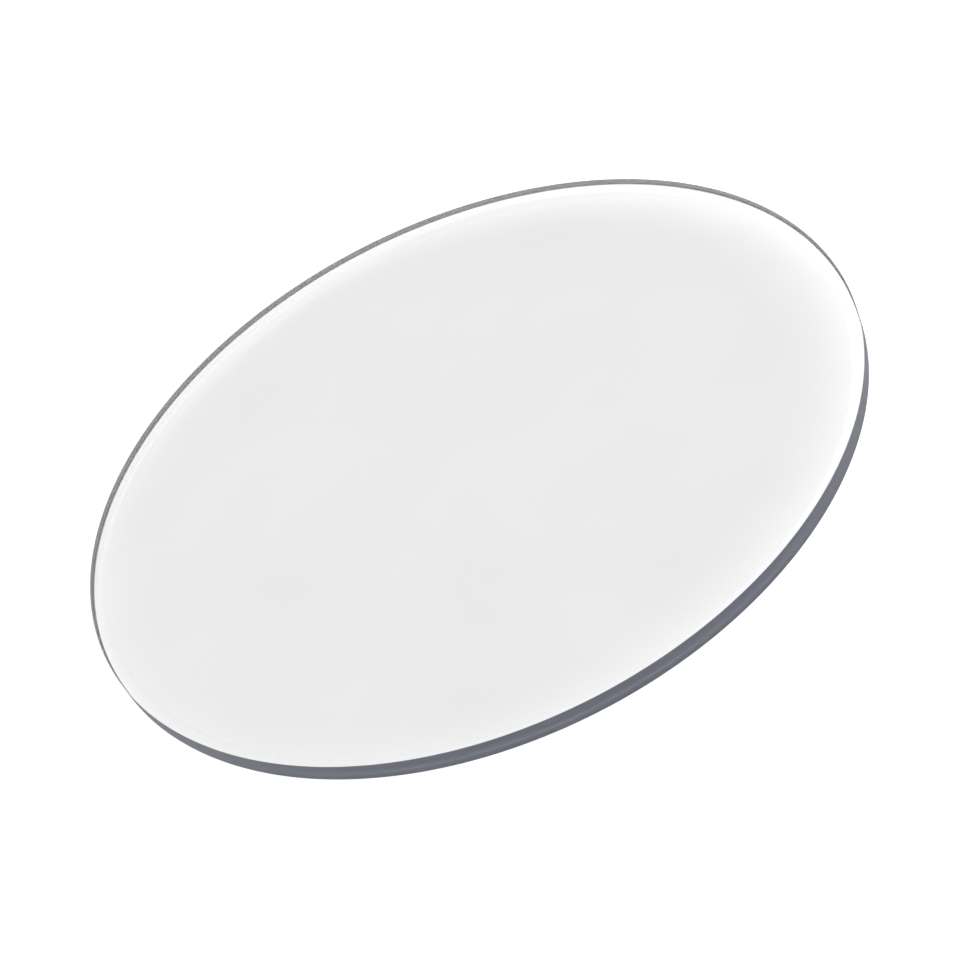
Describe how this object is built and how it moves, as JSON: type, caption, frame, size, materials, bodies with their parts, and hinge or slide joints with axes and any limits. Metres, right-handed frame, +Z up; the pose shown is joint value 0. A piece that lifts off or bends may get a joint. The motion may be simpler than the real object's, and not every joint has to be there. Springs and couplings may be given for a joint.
{
  "type": "countertop mirror",
  "caption": "Frameless round mirror plate with a ground edge and a clear margin, backed with a safety film and standing on low stick-on bumpers.",
  "frame": {"origin": "on the counter, on the axis of the round plate, where the bumpers rest", "axes": "+Z up, out through the mirror face; -Y is the front of the object and +X its right side"},
  "size_m": [0.175, 0.175, 0.0061],
  "materials": {
    "float_glass": "clear float glass, rim ground flat and matt",
    "silver": "silvered back of the glass",
    "backing_paint": "matt grey mirror-backing paint",
    "edge_seal": "clear sealing lacquer",
    "film_adhesive": "clear acrylic adhesive",
    "safety_film": "woven-backed polyethylene film, blue-grey",
    "bumper_rubber": "translucent soft polyurethane",
    "bumper_adhesive": "clear acrylic adhesive"
  },
  "bodies": {
    "root": {"glass_plate": "float_glass", "silver_layer": "silver", "backing_paint": "backing_paint", "edge_seal": "edge_seal", "film_adhesive": "film_adhesive", "safety_film": "safety_film", "bumper_front_left": "bumper_rubber", "bumper_adhesive_front_left": "bumper_adhesive", "bumper_front_right": "bumper_rubber", "bumper_adhesive_front_right": "bumper_adhesive", "bumper_back_left": "bumper_rubber", "bumper_adhesive_back_left": "bumper_adhesive", "bumper_back_right": "bumper_rubber", "bumper_adhesive_back_right": "bumper_adhesive"}
  },
  "joints": []
}
